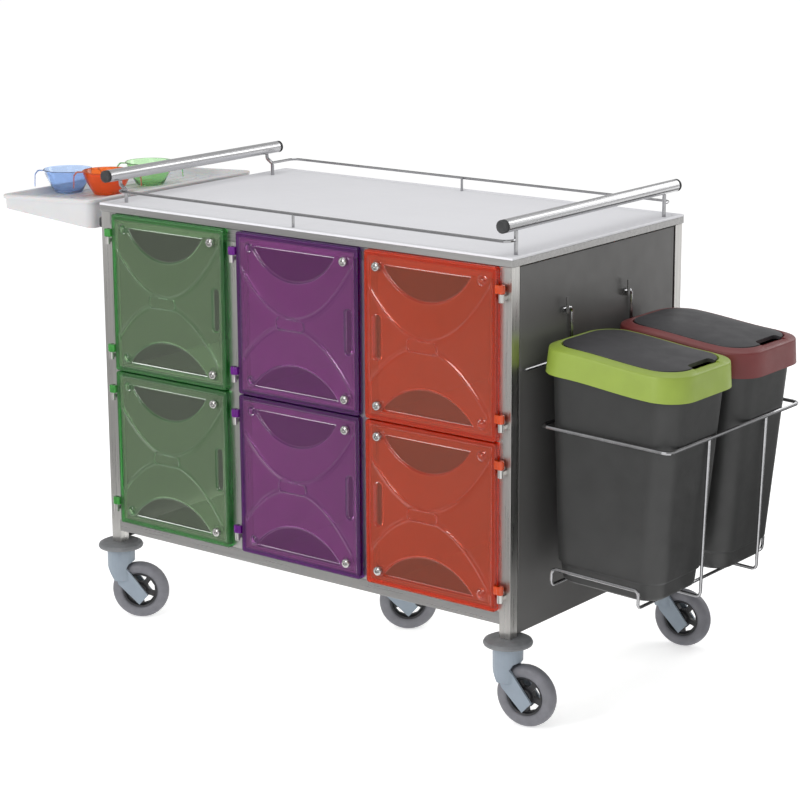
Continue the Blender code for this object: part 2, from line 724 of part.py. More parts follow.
def bin_rim():
    low, high = RIM_Z
    section = [
        (0.159, 0.1185, 0.058, low), (0.155, 0.1145, 0.056, high - 0.006), (0.149, 0.109, 0.050, high),
        (0.124, 0.085, 0.040, high), (0.124, 0.085, 0.040, BIN_TOP + GAP),
        (0.1460, 0.1070, 0.047, BIN_TOP + GAP),
        (0.1456, 0.1066, 0.047, low),
    ]
    return skin([ring_at(*row) for row in section], closed=True)


def bin_lid():
    base = RIM_Z[1] + GAP
    rows = [
        (*LID_HALF, 0.050, base), (*LID_HALF, 0.050, base + 0.005), (0.132, 0.093, 0.048, base + 0.010),
        (0.105, 0.072, 0.046, LID_TOP - 0.004), (0.060, 0.040, 0.030, LID_TOP),
    ]
    return skin([ring_at(*row) for row in rows])


def bins():
    for depth, rim in (("front", "rim_green"), ("rear", "rim_red")):
        y = BINS_Y[depth]
        centre = Matrix.Translation((BIN_X, y, 0))
        spot = tilted(BIN_X, y, BIN_FLOOR)
        hinge = tilted(BIN_X - LID_HALF[0] - 0.0005, y, RIM_Z[1] + GAP)
        for name, shape, slot, origin in (
            (f"bin_body_{depth}", bin_body(), "bin_black", spot),
            (f"bin_rim_{depth}", bin_rim(), rim, spot),
            (f"bin_lid_{depth}", bin_lid(), "bin_black", hinge),
        ):
            shape.transform(tilt() @ centre)
            place(name, shape, slot, origin)


# ---------------------------------------------------------------- fold-down shelf and cups
def tray_height(x):
    """The tray's rim height at a place along its reach: it falls a little towards its free edge."""
    share = (TRAY_INNER_X - x) / (TRAY_INNER_X - TRAY_OUTER_X)
    return TRAY_RIM_Z - TRAY_TILT_DROP * share


def side_shelf():
    centre_x = (TRAY_INNER_X + TRAY_OUTER_X) / 2
    half_x = (TRAY_INNER_X - TRAY_OUTER_X) / 2

    def ring(inset, drop, radius, skirt=0.0):
        points = []
        for x, y in rounded_rectangle(half_x - inset, TRAY_HALF_Y - inset, radius, 3):
            share = (half_x - x) / (2 * half_x)
            depth = drop + skirt * (TRAY_SKIRT[0] * (1 - share) + TRAY_SKIRT[1] * share)
            points.append((centre_x + x, y, tray_height(centre_x + x) - depth))
        return points

    rings = [
        ring(0.004 + TRAY_WALL, 0.0, 0.012, 1.0), ring(0.004, 0.0, 0.014, 1.0), ring(0.0, 0.004, 0.018),
        ring(0.0015, 0.0, 0.017), ring(TRAY_RIM, 0.0, 0.014), ring(TRAY_RIM + 0.004, TRAY_DEPTH, 0.012),
    ]
    shell = side_shelf_shell(rings, ring(0.004 + TRAY_WALL, TRAY_DEPTH + TRAY_WALL, 0.012))
    pivot_x, pivot_z = TRAY_PIVOT
    lugs = []
    bores = []
    for sy in (-1, 1):
        y0 = sy * TRAY_LUG_Y - 0.012
        y1 = sy * TRAY_LUG_Y + 0.012
        lugs.append(cylinder((pivot_x, pivot_z), 0.008, y0, y1, "Y", 16))
        lugs.append(box((TRAY_INNER_X - 0.006, y0, pivot_z - 0.001), (pivot_x, y1, pivot_z + 0.007)))
        bores.append(cylinder((pivot_x, pivot_z), TRAY_PIN_RADIUS + 0.0004, y0 - 0.002, y1 + 0.002, "Y", 16))
    shape = combine(combine(shell, lugs), bores, "DIFFERENCE")
    place("side_shelf", shape, "shelf_white", (pivot_x, 0, pivot_z))


def side_shelf_shell(rings, under):
    """The tray as one closed skin: over the top down to the well, and back under it to the skirt."""
    bm = bmesh.new()
    rows = [[bm.verts.new(p) for p in ring] for ring in rings]
    base = [bm.verts.new(p) for p in under]
    loops = [base, *rows]
    for low, high in zip(loops, loops[1:]):
        for i in range(len(low)):
            j = (i + 1) % len(low)
            bm.faces.new((low[i], low[j], high[j], high[i]))
    bm.faces.new(rows[-1])
    bm.faces.new(reversed(base))
    return to_mesh(bm)


def shelf_hinge():
    half_x, half_z = TUBE_HALF
    outline = rounded_rectangle(half_x, half_z, half_x - 0.0005, 3)
    tube = skin([[(TUBE_X + x, y, TUBE_Z + z) for x, z in outline] for y in (-0.272, 0.272)])
    pivot_x, pivot_z = TRAY_PIVOT
    added = []
    for sy in (-1, 1):
        centre = sy * TRAY_LUG_Y
        for side in (-1, 1):
            y0 = centre + side * 0.0145 - 0.002
            y1 = y0 + 0.004
            added.append(skin([[(x, y, z) for x, z in (
                (TUBE_X - 0.004, TUBE_Z - 0.004), (TUBE_X + 0.004, TUBE_Z - 0.004),
                (TUBE_X + 0.004, pivot_z - 0.006), (pivot_x + 0.002, pivot_z - 0.008),
                (pivot_x - 0.007, pivot_z - 0.002), (pivot_x - 0.007, pivot_z + 0.005),
            )] for y in (y0, y1)]))
        added.append(cylinder((pivot_x, pivot_z), TRAY_PIN_RADIUS, centre - 0.015, centre + 0.015, "Y", 12))
        added.append(box((TUBE_X, centre - 0.03, TUBE_Z - 0.006),
                         (-HALF_X + PANEL_INSET - GAP, centre + 0.03, TUBE_Z + 0.006)))
    place("shelf_hinge_tube", combine(tube, added), "satin_steel")


def cup(name, x, y):
    base_z = tray_height(x) - TRAY_DEPTH + 0.0019
    steps = 20
    lip = CUP_TOP_RADIUS
    rows = [
        (CUP_BASE_RADIUS, 0.0), (CUP_BASE_RADIUS + 0.0030, 0.012), (lip - 0.0085, CUP_HEIGHT * 0.6),
        (lip - 0.0020, CUP_HEIGHT - 0.003), (lip, CUP_HEIGHT - 0.002), (lip, CUP_HEIGHT),
        (lip - 0.0040, CUP_HEIGHT),
        (lip - 0.0085 - CUP_WALL, CUP_HEIGHT * 0.6), (CUP_BASE_RADIUS + 0.0030 - CUP_WALL, 0.012),
        (CUP_BASE_RADIUS - CUP_WALL, CUP_WALL),
    ]
    shell = skin([[(p, q, z) for p, q in circle(radius, steps)] for radius, z in rows])
    ears = []
    for side in (-1, 1):
        strap = [Vector((side * reach, 0, z)) for reach, z in (
            (lip - 0.003, CUP_HEIGHT - 0.003), (CUP_EAR - 0.0028, CUP_HEIGHT - 0.003),
            (CUP_EAR, CUP_EAR_FOOT))]
        ears.append(wire(rounded_path(strap, 0.008, 3), 0.0028, 6))
    shape = combine(shell, ears)
    shape.transform(Matrix.Translation((x, y, base_z)) @ Matrix.Rotation(CUP_TURN, 4, "Z"))
    place(name, shape, name, (x, y, base_z))


def main():
    clear_scene()
    worktop()
    posts()
    front_frame()
    side_panels()
    back_panel()
    interior()
    handles()
    gallery_rails()
    doors()
    castors()
    rack()
    bins()
    side_shelf()
    shelf_hinge()
    for name, (x, y) in CUP_PLACES.items():
        cup(name, x, y)


main()
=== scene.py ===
"""Housekeeping cart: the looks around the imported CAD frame.

Metres, +Z up. The doors face -Y, the bins hang on the +X end and the shelf on the -X end.
"""
import json
import math

import bmesh
import bpy
import numpy as np
from mathutils import Matrix, Vector


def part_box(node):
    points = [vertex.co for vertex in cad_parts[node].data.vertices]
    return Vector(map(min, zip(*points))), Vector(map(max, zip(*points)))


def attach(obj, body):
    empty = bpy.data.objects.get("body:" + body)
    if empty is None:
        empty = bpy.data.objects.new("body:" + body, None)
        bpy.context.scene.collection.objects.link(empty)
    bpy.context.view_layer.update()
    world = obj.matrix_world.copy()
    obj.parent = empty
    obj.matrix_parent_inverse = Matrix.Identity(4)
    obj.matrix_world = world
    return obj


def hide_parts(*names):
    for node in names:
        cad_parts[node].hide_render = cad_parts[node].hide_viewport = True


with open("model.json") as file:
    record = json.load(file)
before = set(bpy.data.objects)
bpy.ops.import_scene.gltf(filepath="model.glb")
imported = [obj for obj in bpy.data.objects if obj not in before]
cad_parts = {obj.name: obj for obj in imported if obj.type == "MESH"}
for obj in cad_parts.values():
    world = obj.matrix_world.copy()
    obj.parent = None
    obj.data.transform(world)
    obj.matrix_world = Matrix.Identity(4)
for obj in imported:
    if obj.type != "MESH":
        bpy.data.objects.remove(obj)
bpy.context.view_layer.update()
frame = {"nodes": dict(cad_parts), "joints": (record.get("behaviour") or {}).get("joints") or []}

SCENE = bpy.context.scene

# ---------------------------------------------------------------- camera, floor and light
CAMERA_AT = (3.0647, -3.8820, 1.7488)
CAMERA_YAW = math.radians(37.99)
CAMERA_PITCH = math.radians(14.07)
CAMERA_ROLL = math.radians(-0.273)
CAMERA_LENS = 108.38

camera = bpy.data.objects.new("camera", bpy.data.cameras.new("camera"))
camera.data.lens = CAMERA_LENS
camera.data.sensor_width = 36.0
camera.data.clip_end = 100.0
camera.matrix_world = (
    Matrix.Translation(CAMERA_AT) @ Matrix.Rotation(CAMERA_YAW, 4, "Z")
    @ Matrix.Rotation(math.pi / 2 - CAMERA_PITCH, 4, "X") @ Matrix.Rotation(CAMERA_ROLL, 4, "Z")
)
SCENE.collection.objects.link(camera)
SCENE.camera = camera
SCENE.view_settings.view_transform = "Standard"


def softbox(name, spot, target, size, power):
    data = bpy.data.lights.new(name, "AREA")
    data.shape = "RECTANGLE"
    data.size, data.size_y = size
    data.energy = power
    made = bpy.data.objects.new(name, data)
    made.location = spot
    made.rotation_euler = (Vector(target) - Vector(spot)).to_track_quat("-Z", "Y").to_euler()
    SCENE.collection.objects.link(made)


softbox("key", (1.5, -3.6, 3.6), (0.1, 0.0, 0.5), (2.2, 2.2), 16)
softbox("front_window", (-0.25, -3.8, 1.90), (0.0, -0.3, 0.6), (0.9, 1.5), 46)
softbox("left_fill", (-3.4, -2.6, 2.4), (-0.2, 0.0, 0.5), (2.2, 2.2), 9)
softbox("top", (0.5, 0.2, 4.0), (0.1, 0.0, 0.0), (3.0, 3.0), 36)
softbox("rear", (1.5, 3.6, 2.6), (0.3, 0.0, 0.6), (2.4, 1.6), 30)

world = bpy.data.worlds.new("studio")
world.use_nodes = True
world.node_tree.nodes["Background"].inputs["Color"].default_value = (1.0, 1.0, 1.0, 1.0)
world.node_tree.nodes["Background"].inputs["Strength"].default_value = 0.55
SCENE.world = world


# ---------------------------------------------------------------- materials
class Surface:
    """One procedural material: a Principled shader whose colour, roughness and bump vary by noise."""

    def __init__(self, name, colour, roughness, metallic=0.0, **sockets):
        self.material = bpy.data.materials.new(name)
        self.material.use_nodes = True
        self.nodes = self.material.node_tree.nodes
        self.links = self.material.node_tree.links
        self.shader = self.nodes["Principled BSDF"]
        self.set("Base Color", (*colour, 1.0))
        self.set("Roughness", roughness)
        self.set("Metallic", metallic)
        for socket, value in sockets.items():
            self.set(socket.replace("_", " "), value)
        self.colour = colour
        self.place = self.nodes.new("ShaderNodeTexCoord").outputs["Object"]

    def set(self, socket, value):
        self.shader.inputs[socket].default_value = value

    def noise(self, scale, stretch=(1, 1, 1), detail=4.0):
        mapping = self.nodes.new("ShaderNodeMapping")
        mapping.inputs["Scale"].default_value = stretch
        self.links.new(self.place, mapping.inputs["Vector"])
        made = self.nodes.new("ShaderNodeTexNoise")
        made.inputs["Scale"].default_value = scale
        made.inputs["Detail"].default_value = detail
        self.links.new(mapping.outputs["Vector"], made.inputs["Vector"])
        return made.outputs["Fac"]

    def attribute(self, name):
        made = self.nodes.new("ShaderNodeAttribute")
        made.attribute_name = name
        return made.outputs["Fac"]

    def ramp_colour(self, factor, stops):
        """Base colour from a factor by (position, colour) stops."""
        made = self.nodes.new("ShaderNodeValToRGB")
        elements = made.color_ramp.elements
        while len(elements) < len(stops):
            elements.new(0.5)
        for element, (position, colour) in zip(elements, stops):
            element.position = position
            element.color = (*colour, 1.0)
        self.links.new(factor, made.inputs["Fac"])
        self.links.new(made.outputs["Color"], self.shader.inputs["Base Color"])
        return self

    def mottle(self, scale, amount, stretch=(1, 1, 1)):
        low = tuple(c * (1 - amount) for c in self.colour)
        high = tuple(min(1.0, c * (1 + amount)) for c in self.colour)
        return self.ramp_colour(self.noise(scale, stretch), ((0.3, low), (0.7, high)))

    def gloss(self, scale, low, high, stretch=(1, 1, 1)):
        made = self.nodes.new("ShaderNodeMapRange")
        made.inputs["From Min"].default_value = 0.3
        made.inputs["From Max"].default_value = 0.7
        made.inputs["To Min"].default_value = low
        made.inputs["To Max"].default_value = high
        self.links.new(self.noise(scale, stretch), made.inputs["Value"])
        self.links.new(made.outputs["Result"], self.shader.inputs["Roughness"])
        return self

    def bump(self, scale, strength, distance=0.0005, stretch=(1, 1, 1), detail=2.0):
        made = self.nodes.new("ShaderNodeBump")
        made.inputs["Strength"].default_value = strength
        made.inputs["Distance"].default_value = distance
        self.links.new(self.noise(scale, stretch, detail), made.inputs["Height"])
        self.links.new(made.outputs["Normal"], self.shader.inputs["Normal"])
        return self


def brushed(name, colour, stretch, low=0.24, high=0.38):
    """Brushed stainless steel, its grain long in the direction that stretch makes small."""
    return (Surface(name, colour, 0.3, 1.0).mottle(160, 0.07, stretch)
            .gloss(220, low, high, stretch).bump(420, 0.12, 0.0002, stretch)).material


ALONG_X, ALONG_Y, ALONG_Z = (0.03, 1, 1), (1, 0.03, 1), (1, 1, 0.03)
MATERIALS = {
    # Painted shade: the rails and the worktop's lip use a darker copy of the brushed steel.
    "steel_x_painted_shade": brushed("steel_x_painted_shade", (0.37, 0.365, 0.36), ALONG_X),
    "steel_y": brushed("steel_y", (0.56, 0.56, 0.57), ALONG_Y, 0.2, 0.32),
    # Painted light: the posts, mullions and castor mount use a lighter copy of the same brushed steel.
    "steel_z_painted_light": brushed("steel_z_painted_light", (0.56, 0.55, 0.53), ALONG_Z),
    "bright_wire": (Surface("bright_wire", (0.40, 0.40, 0.41), 0.22, 1.0).mottle(90, 0.08)
                    .gloss(60, 0.14, 0.26)).material,
    "chrome": (Surface("chrome", (0.50, 0.49, 0.48), 0.16, 1.0).mottle(300, 0.18)
               .gloss(300, 0.12, 0.26)).material,
    "dark_panel": (Surface("dark_panel_coat", (0.115, 0.113, 0.110), 0.36, 0.25)
                   .mottle(7, 0.07).gloss(30, 0.32, 0.42).bump(900, 0.06, 0.0002)).material,
    # Painted light: the inside boards get a light colour that stands in for light coming in through the
    # clear doors.
    "inner": (Surface("inner_boards_painted_light", (0.72, 0.72, 0.70), 0.5).mottle(12, 0.10).gloss(40, 0.42, 0.55)
              .bump(700, 0.08, 0.0002)).material,
    "worktop": (Surface("worktop_coat", (0.74, 0.74, 0.77), 0.45).mottle(6, 0.015)
                .gloss(25, 0.42, 0.50).bump(260, 0.03, 0.0001)).material,
    "rubber": (Surface("black_rubber", (0.035, 0.036, 0.038), 0.6).mottle(80, 0.25)
               .gloss(120, 0.5, 0.7).bump(1200, 0.15, 0.0003)).material,
    "bumper": (Surface("bumper_rubber", (0.16, 0.165, 0.172), 0.50).mottle(60, 0.12)
               .gloss(90, 0.45, 0.6).bump(1200, 0.12, 0.0003)).material,
    "fork": (Surface("fork_plastic", (0.24, 0.285, 0.335), 0.42).mottle(35, 0.05)
             .gloss(60, 0.36, 0.48).bump(1400, 0.12, 0.0002)).material,
    "tyre": (Surface("tyre_rubber", (0.160, 0.160, 0.178), 0.52).mottle(60, 0.10)
             .gloss(80, 0.42, 0.58).bump(1300, 0.12, 0.0003)).material,
    "rim_black": (Surface("rim_plastic", (0.025, 0.025, 0.028), 0.45).mottle(60, 0.2)
                  .gloss(90, 0.38, 0.55).bump(1200, 0.10, 0.0002)).material,
    "bin": (Surface("bin_plastic", (0.027, 0.0275, 0.027), 0.46).mottle(22, 0.10)
            .gloss(35, 0.40, 0.52).bump(1600, 0.22, 0.0002)).material,
    "lid": (Surface("lid_plastic", (0.027, 0.0265, 0.030), 0.44).mottle(20, 0.10)
            .gloss(30, 0.38, 0.50).bump(1600, 0.22, 0.0002)).material,
    "rim_green": (Surface("lime_plastic", (0.255, 0.345, 0.045), 0.42).mottle(18, 0.06)
                  .gloss(30, 0.36, 0.48).bump(1600, 0.18, 0.0002)).material,
    "rim_red": (Surface("dark_red_plastic", (0.155, 0.026, 0.026), 0.42).mottle(18, 0.08)
                .gloss(30, 0.36, 0.48).bump(1600, 0.18, 0.0002)).material,
    "shelf": (Surface("shelf_plastic", (0.60, 0.60, 0.608), 0.32, Subsurface_Weight=0.25,
                      Subsurface_Scale=0.01).mottle(14, 0.02).gloss(30, 0.26, 0.38)
              .bump(900, 0.06, 0.0002)).material,
}


def clear_plastic(name, window, field, edge, weight):
    """Clear tinted plastic with painted shade in its colour: darker in its windows and recesses, for the
    dark inside seen through them, its own tint on its moulded field, and a deeper colour painted as shade on
    its steps and edges.
    """
    made = Surface(name, field, 0.05, IOR=1.49, Transmission_Weight=weight)
    made.ramp_colour(made.attribute("painted_shade"), ((0.0, window), (0.35, field), (1.0, edge)))
    made.gloss(45, 0.02, 0.07)
    made.bump(9, 0.10, 0.0010, detail=1.0)
    return made.material


# Painted shade: each door's first colour darkens its windows and recesses, and its last darkens its steps
# and edges; the middle colour is the plastic's own tint.
MATERIALS["door_green"] = clear_plastic(
    "clear_green", (0.38, 0.44, 0.34), (0.55, 0.76, 0.47), (0.05, 0.42, 0.08), 0.88)
MATERIALS["door_purple"] = clear_plastic(
    "clear_purple", (0.44, 0.13, 0.44), (0.68, 0.21, 0.64), (0.14, 0.0, 0.26), 0.88)
MATERIALS["door_orange"] = clear_plastic(
    "clear_orange", (0.60, 0.16, 0.09), (1.0, 0.18, 0.085), (0.92, 0.06, 0.004), 0.80)
# Painted shade: each cup's last colour darkens its brim and ears.
MATERIALS["cup_blue"] = clear_plastic(
    "clear_blue", (0.55, 0.70, 0.96), (0.55, 0.70, 0.96), (0.30, 0.48, 0.92), 0.88)
MATERIALS["cup_orange"] = clear_plastic(
    "clear_cup_orange", (1.0, 0.22, 0.03), (1.0, 0.20, 0.02), (0.9, 0.14, 0.01), 0.72)
MATERIALS["cup_green"] = clear_plastic(
    "clear_cup_green", (0.62, 0.93, 0.56), (0.62, 0.93, 0.56), (0.35, 0.82, 0.28), 0.9)
for colour_name, solid in (("green", (0.05, 0.30, 0.05)), ("purple", (0.13, 0.0, 0.22)),
                           ("orange", (0.66, 0.07, 0.008))):
    MATERIALS[f"lug_{colour_name}"] = (
        Surface(f"lug_{colour_name}", solid, 0.18, Transmission_Weight=0.25).mottle(70, 0.15)
        .gloss(60, 0.12, 0.25)).material


# ---------------------------------------------------------------- mesh helpers
def mesh_from(vertices, faces):
    made = bpy.data.meshes.new("shape")
    made.from_pydata([tuple(v) for v in vertices], [], faces)
    bm = bmesh.new()
    bm.from_mesh(made)
    bmesh.ops.recalc_face_normals(bm, faces=bm.faces[:])
    if bm.calc_volume(signed=True) < 0:
        bmesh.ops.reverse_faces(bm, faces=bm.faces[:])
    bm.to_mesh(made)
    bm.free()
    return made


def skin(rings, closed=False):
    """A solid through rings of equal length: capped at both ends, or joined into a closed loop."""
    size = len(rings[0])
    vertices = [p for ring in rings for p in ring]
    faces = []
    count = len(rings)
    for k in range(count if closed else count - 1):
        a, b = k * size, (k + 1) % count * size
        for i in range(size):
            j = (i + 1) % size
            faces.append((a + i, a + j, b + j, b + i))
    if not closed:
        faces.append(tuple(range(size)))
        faces.append(tuple(range((count - 1) * size, count * size)))
    return mesh_from(vertices, faces)


def circle(radius, steps):
    """Points round a circle, anticlockwise from +X."""
    turns = [2 * math.pi * i / steps for i in range(steps)]
    return [(radius * math.cos(t), radius * math.sin(t)) for t in turns]


def lathe(profile, steps, closed=False):
    """A solid of revolution about Z from (radius, height) points."""
    return skin([[(p, q, height) for p, q in circle(radius, steps)] for radius, height in profile], closed)


def rounded_rectangle(half_x, half_y, radius, steps=8):
    points = []
    for quarter, (sx, sy) in enumerate(((1, 1), (-1, 1), (-1, -1), (1, -1))):
        for i in range(steps + 1):
            turn = math.pi / 2 * (quarter + i / steps)
            points.append((sx * (half_x - radius) + radius * math.cos(turn),
                           sy * (half_y - radius) + radius * math.sin(turn)))
    return points


def rounded_box(low, high, bevel, segments=3):
    bm = bmesh.new()
    bmesh.ops.create_cube(bm, size=1.0)
    size = [b - a for a, b in zip(low, high)]
    middle = [(a + b) / 2 for a, b in zip(low, high)]
    for v in bm.verts:
        v.co = Vector(c * s + m for c, s, m in zip(v.co, size, middle))
    bmesh.ops.bevel(bm, geom=bm.edges[:], offset=bevel, segments=segments, profile=0.5, affect="EDGES")
    made = bpy.data.meshes.new("shape")
    bm.to_mesh(made)
    bm.free()
    return made


def rounded_path(points, radius, steps=5):
    """A polyline with its inner corners turned into arcs."""
    points = [Vector(p) for p in points]
    path = [points[0]]
    for before, here, after in zip(points, points[1:], points[2:]):
        back, ahead = (before - here).normalized(), (after - here).normalized()
        half = back.angle(ahead) / 2
        centre = here + (back + ahead).normalized() * (radius / math.sin(half))
        first = here + back * (radius / math.tan(half)) - centre
        last = here + ahead * (radius / math.tan(half)) - centre
        axis = first.cross(last)
        for k in range(steps + 1):
            path.append(centre + Matrix.Rotation(first.angle(last) * k / steps, 3, axis) @ first)
    return [*path, points[-1]]


def strap(points, half_wide, half_thick, across, steps=12):
    """A flat strap with rounded edges along a path; across is the direction of its width."""
    across = Vector(across).normalized()
    rings = []
    for i, spot in enumerate(points):
        before, after = points[max(i - 1, 0)], points[min(i + 1, len(points) - 1)]
        up = across.cross((after - before).normalized())
        rings.append([spot + across * p * half_wide + up * q * half_thick for p, q in circle(1.0, steps)])
    return skin(rings)


def merged(meshes):
    """Several meshes as one."""
    bm = bmesh.new()
    for mesh in meshes:
        bm.from_mesh(mesh)
    made = bpy.data.meshes.new("shape")
    bm.to_mesh(made)
    bm.free()
    return made


def cut(base, others):
    """A mesh with other solids taken out of it."""
    helper = bpy.data.objects.new("helper", base)
    SCENE.collection.objects.link(helper)
    tools = []
    for other in others:
        tool = bpy.data.objects.new("tool", other)
        SCENE.collection.objects.link(tool)
        tools.append(tool)
        modifier = helper.modifiers.new("cut", "BOOLEAN")
        modifier.operation = "DIFFERENCE"
        modifier.object = tool
        modifier.solver = "EXACT"
    result = bpy.data.meshes.new_from_object(helper.evaluated_get(bpy.context.evaluated_depsgraph_get()))
    for done in (helper, *tools):
        bpy.data.objects.remove(done, do_unlink=True)
    return result


def piece(name, mesh, material, body, replaces=(), angle=35):
    """A detailed piece that rides on a body, finished with one of the script's materials."""
    mesh.name = name
    mesh.materials.clear()
    mesh.materials.append(MATERIALS[material])
    mesh.shade_smooth()
    mesh.set_sharp_from_angle(angle=math.radians(angle))
    made = bpy.data.objects.new(name, mesh)
    SCENE.collection.objects.link(made)
    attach(made, body)
    if replaces:
        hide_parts(*replaces)


def dress(node, material, bevel=0.0, segments=2):
    """A CAD node that stays, with its finish and softened edges."""
    shown = frame["nodes"][node]
    shown.data.materials.clear()
    shown.data.materials.append(MATERIALS[material])
    if bevel:
        weld = shown.modifiers.new("weld", "WELD")
        weld.merge_threshold = 0.00001
        edge = shown.modifiers.new("edge", "BEVEL")
        edge.width = bevel
        edge.segments = segments
        edge.limit_method = "ANGLE"
        edge.angle_limit = math.radians(40)
        edge.harden_normals = True


def ramp(value, low, high):
    share = np.clip((value - low) / (high - low), 0.0, 1.0)
    return share * share * (3 - 2 * share)


# ---------------------------------------------------------------- floor
floor_mesh = bpy.data.meshes.new("floor")
floor_mesh.from_pydata([(-30, -30, 0), (30, -30, 0), (30, 30, 0), (-30, 30, 0)], [], [(0, 1, 2, 3)])
floor = bpy.data.objects.new("floor", floor_mesh)
floor.data.materials.append(
    Surface("floor_paper", (0.93, 0.93, 0.93), 0.9, Emission_Color=(1.0, 1.0, 1.0, 1.0),
            Emission_Strength=0.50).mottle(0.6, 0.01).material)
SCENE.collection.objects.link(floor)


def flag(name, corners, shade):
    """A grey card that only reflections and clear plastic see, as a photographer lays out of view."""
    mesh = bpy.data.meshes.new(name)
    mesh.from_pydata(corners, [], [(0, 1, 2, 3)])
    card = bpy.data.objects.new(name, mesh)
    card.data.materials.append(Surface(name, (shade, shade, shade), 0.9).mottle(2.0, 0.1).material)
    card.visible_camera = False
    card.visible_diffuse = False
    card.visible_shadow = False
    SCENE.collection.objects.link(card)


flag("front_flag", [(-4.2, -4.6, 0.01), (0.7, -4.6, 0.01), (0.7, -0.72, 0.01), (-4.2, -0.72, 0.01)], 0.38)
flag("side_flag", [(0.62, 0.1, 0.01), (2.2, 0.1, 0.01), (2.2, 2.4, 0.01), (0.62, 2.4, 0.01)], 0.14)

# ---------------------------------------------------------------- CAD nodes that stay
for corner in ("front_left", "front_right", "rear_left", "rear_right"):
    dress(f"post_{corner}", "steel_z_painted_light", 0.0012)
    dress(f"bumper_{corner}", "bumper")
for name in ("front_top_rail", "front_bottom_rail"):
    dress(name, "steel_x_painted_shade", 0.0008)
for side in ("left", "right"):
    dress(f"mullion_{side}", "steel_z_painted_light", 0.0006)
    dress(f"side_panel_{side}", "dark_panel", 0.0012)
    dress(f"divider_{side}", "inner", 0.0005)
    dress(f"handle_tube_{side}", "steel_y")
dress("back_panel", "dark_panel", 0.0012)
dress("floor_pan", "inner", 0.0004)
for column in ("left", "centre", "right"):
    dress(f"inner_shelf_{column}", "inner", 0.0006)
for place in ("front_left", "front_right", "rear_left", "rear_right", "centre"):
    dress(f"castor_fork_{place}", "fork", 0.0014, 3)
dress("castor_mount_centre", "steel_z_painted_light", 0.0006)
for name in ("gallery_rail_front", "gallery_rail_rear", "bin_rack"):
    dress(name, "bright_wire")
dress("shelf_hinge_tube", "steel_y")

# ---------------------------------------------------------------- worktop
TOP_EDGE = (  # inset from the CAD box, corner radius, drop below the top: from under the sheet to the recess
    (0.0020, 0.0030, 0.0048), (0.0006, 0.0020, 0.0045), (0.0000, 0.0024, 0.0030), (0.0004, 0.0030, 0.0010),
    (0.0015, 0.0040, 0.0000), (0.0075, 0.0360, 0.0000), (0.0085, 0.0355, 0.0004), (0.0100, 0.0350, 0.0016),
    (0.0108, 0.0345, 0.0018),
)
LIP_EDGE = (  # inset, height above the CAD box's floor, or below its top where negative
    (0.0004, -0.0048), (0.0002, 0.0010), (0.0010, 0.0000), (0.0028, 0.0000), (0.0036, 0.0010),
    (0.0036, -0.0048),
)
ROD_HOLES = ((-0.496, -0.260), (-0.496, 0.212), (0.512, -0.260), (0.512, 0.260))
WIRE_HOLES = ((-0.0145, -0.282), (-0.0145, 0.282))


def worktop():
    low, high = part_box("worktop")
    top = [[(x, y, high.z - drop) for x, y in rounded_rectangle(high.x - inset, high.y - inset, radius, 10)]
           for inset, radius, drop in TOP_EDGE]
    holes = []
    for radius, spots in ((0.0045, ROD_HOLES), (0.0036, WIRE_HOLES)):
        for x, y in spots:
            hole = lathe([(radius, high.z - 0.012), (radius, high.z + 0.004)], 24)
            hole.transform(Matrix.Translation((x, y, 0)))
            holes.append(hole)
    piece("worktop_tray", cut(skin(top), holes), "worktop", "cart_frame", ["worktop"])
    lip = []
    for inset, rise in LIP_EDGE:
        z = high.z + rise if rise < 0 else low.z + rise
        lip.append([(x, y, z) for x, y in rounded_rectangle(high.x - inset, high.y - inset, 0.003, 3)])
    piece("worktop_lip", skin(lip, closed=True), "steel_x_painted_shade", "cart_frame")


worktop()

# ---------------------------------------------------------------- doors
DOOR_WIDE, DOOR_TALL = 0.316, 0.3365
DOOR_SKIN = 0.0026
KNOB_PROUD = 0.0095
KNOB_INSET = (0.033, 0.030)
HINGE_GAP = 0.0115
LUG_SHARES = (0.14, 0.88)
LUG_HALF = 0.0083
LUG_EYE = ((0.0060, -LUG_HALF), (0.0072, 0.0012 - LUG_HALF), (0.0074, 0.003 - LUG_HALF),
           (0.0074, LUG_HALF - 0.003), (0.0072, LUG_HALF - 0.0012), (0.0060, LUG_HALF))
HINGE_Y = -0.312
RIDGE, RIDGE_HALF = 0.0015, 0.0045  # the raised line along each arc
ARC_X, UPPER_ARC, LOWER_ARC = -0.013, (0.0055, 5.0), (0.0135, 4.8)  # middle; height at it and curvature
CRESCENT = (0.1440, 0.1235, -0.010, 0.2020)  # straight edge's height, round edge's radius and centre
ARCH = (-0.1490, 0.1415, -0.008, -0.2320)
WINDOW_DEEP, WINDOW_STEP = 0.0040, 0.0024
PAD = (-0.0180, -0.0075, 0.0360, 0.0118, 0.0085)  # centre, half size and corner radius
PAD_LINE = 0.0024
GRIP_X, GRIP_REST = 0.1300, (-0.0030, 0.0105, 0.0470, 0.0100)
GRID = 0.0015


def grid_lines(half):
    near = np.array([0, 0.0006, 0.0016, 0.003, 0.0046, 0.0062, 0.0078, 0.0094, 0.0110, 0.0126])
    count = round(2 * (half - near[-1]) / GRID)
    middle = np.linspace(near[-1] - half, half - near[-1], count + 1)[1:-1]
    return np.concatenate([near - half, middle, (half - near)[::-1]])


def inside_box(x, z, centre_x, centre_z, half_x, half_z, radius):
    """How far inside a rounded rectangle a place is, negative outside."""
    qx = np.abs(x - centre_x) - (half_x - radius)
    qz = np.abs(z - centre_z) - (half_z - radius)
    return radius - np.hypot(np.maximum(qx, 0), np.maximum(qz, 0)) - np.minimum(np.maximum(qx, qz), 0)


